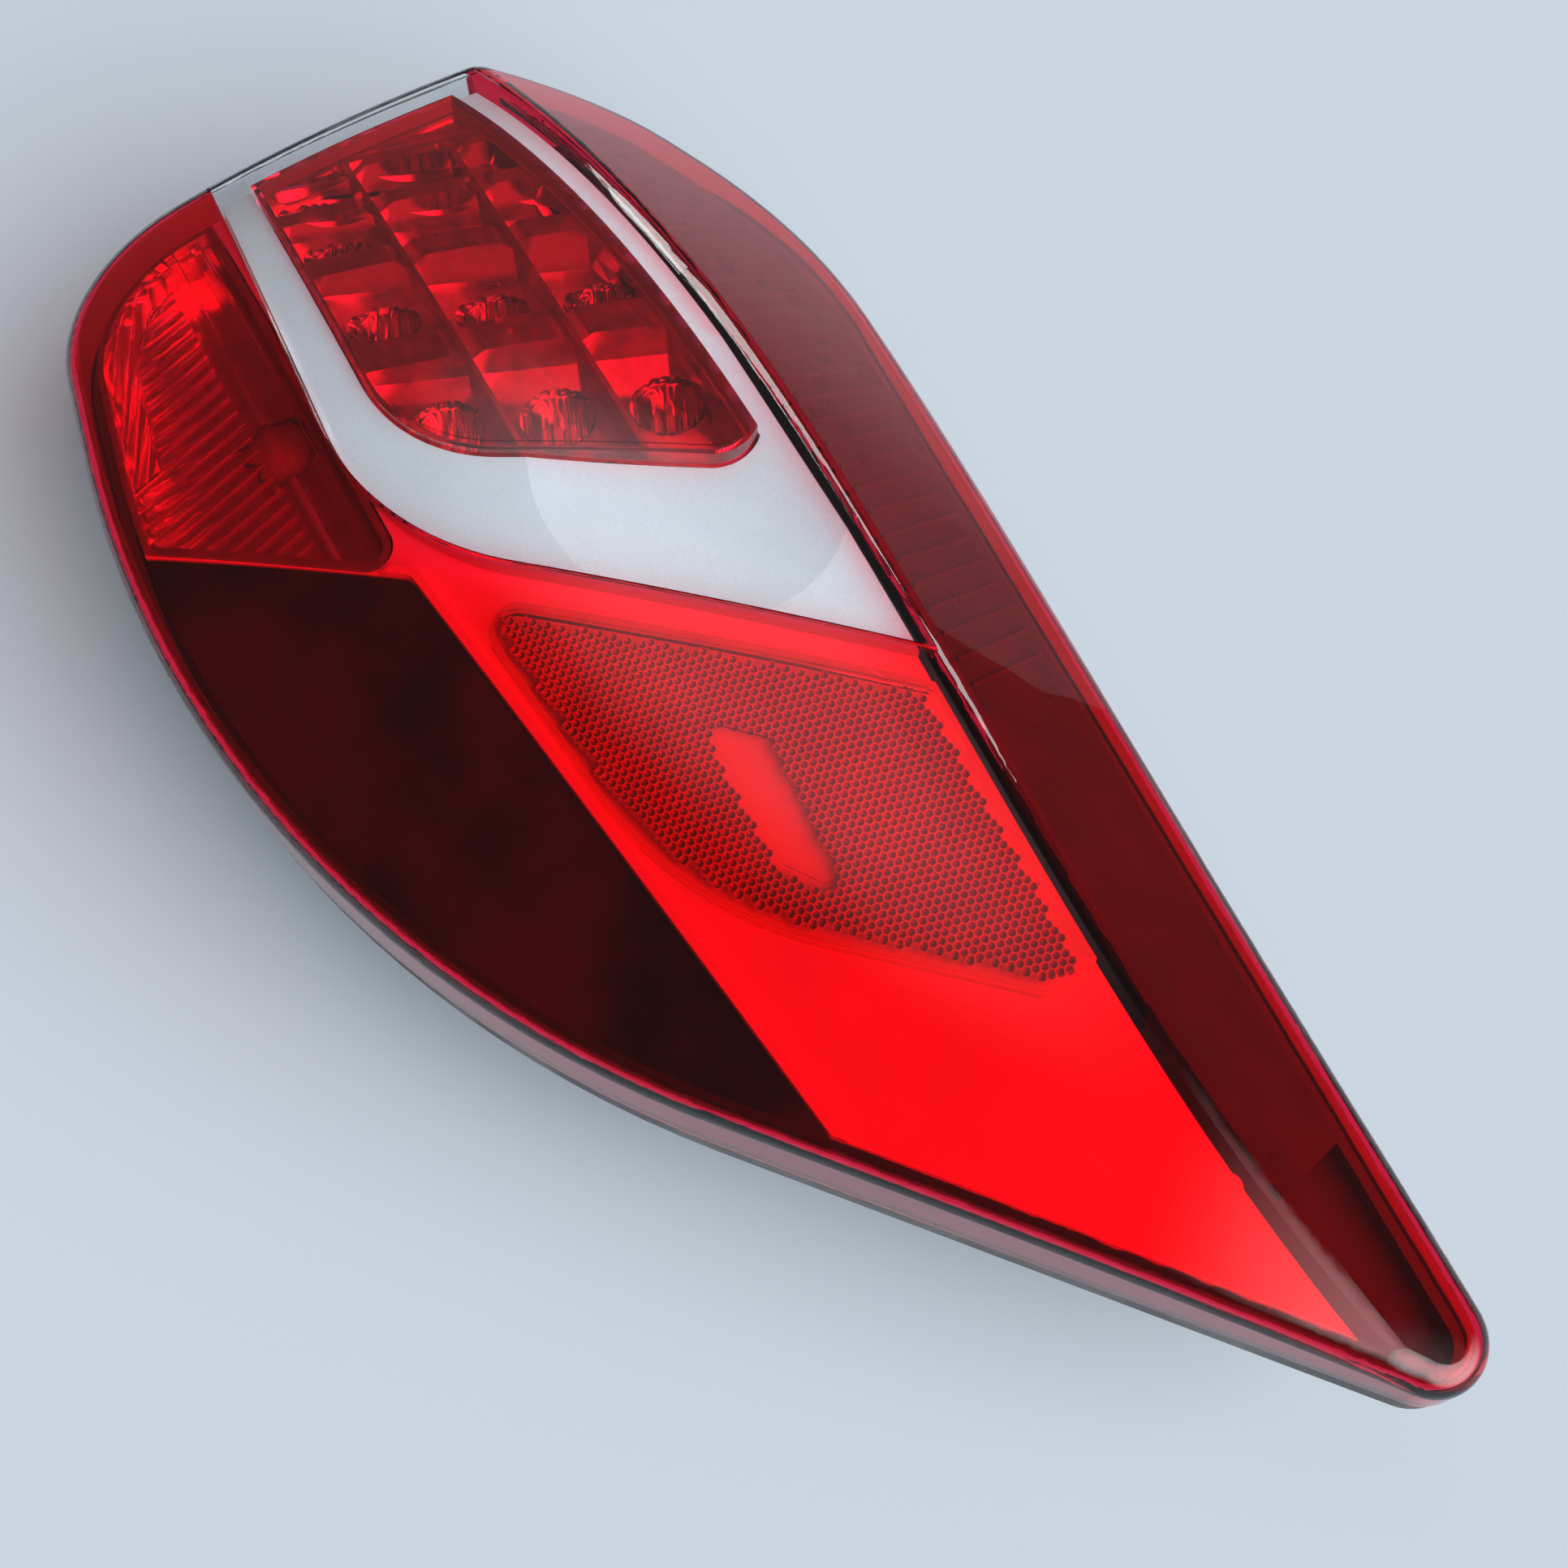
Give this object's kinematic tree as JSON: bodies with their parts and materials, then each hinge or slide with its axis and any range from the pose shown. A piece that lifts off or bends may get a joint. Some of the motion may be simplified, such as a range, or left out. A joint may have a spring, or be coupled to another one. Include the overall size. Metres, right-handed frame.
{
  "type": "tail light cluster",
  "caption": "Leaf-shaped car tail light cluster with a domed red and clear lens over a diode array, reflex reflector and turn signal, in a black housing with mounting studs.",
  "frame": {"origin": "under the middle of the lens outline, at the height of the stud ends", "axes": "+X from the wide head to the pointed tip, +Z out through the lens"},
  "size_m": [0.463, 0.2254, 0.118],
  "materials": {
    "black_housing": "fine matt",
    "red_lens": "gloss",
    "clear_lens": "gloss",
    "black_seal": "matt",
    "satin_silver": "satin silver paint",
    "red_inner_lens": "gloss",
    "bright_reflector": "bright metallised",
    "clear_optic": "gloss",
    "circuit_board": "satin",
    "diode": "satin",
    "steel": "zinc plated",
    "reflex_red": "gloss, faceted back",
    "white_reflector": "satin white",
    "dark_gloss": "gloss",
    "bulb_glass": "gloss",
    "bulb_brass": "satin",
    "grey_plastic": "matt",
    "dark_satin": "satin",
    "black_foam": "matt closed-cell foam",
    "pin_brass": "tin plated"
  },
  "bodies": {
    "root": {"rear_housing": "black_housing", "red_outer_lens": "red_lens", "clear_lens_insert": "clear_lens", "lens_seal": "black_seal", "silver_bezel": "satin_silver", "led_inner_lens": "red_inner_lens", "led_reflector": "bright_reflector", "led_optics": "clear_optic", "led_boards": "circuit_board", "led_chips": "diode", "led_board_screws": "steel", "turn_inner_lens": "clear_optic", "reflex_reflector": "reflex_red", "tail_reflector": "white_reflector", "dark_inner_bezel": "dark_gloss", "turn_signal_reflector": "bright_reflector", "turn_signal_bulb": "bulb_glass", "turn_bulb_base": "bulb_brass", "turn_bulb_holder": "grey_plastic", "bulb_holder_seal": "black_seal", "side_reflector": "dark_satin", "reflector_screws": "steel", "foam_gasket": "black_foam", "mounting_studs": "steel", "connector_shroud": "grey_plastic", "connector_pins": "pin_brass", "vent_cap": "grey_plastic"}
  },
  "joints": []
}
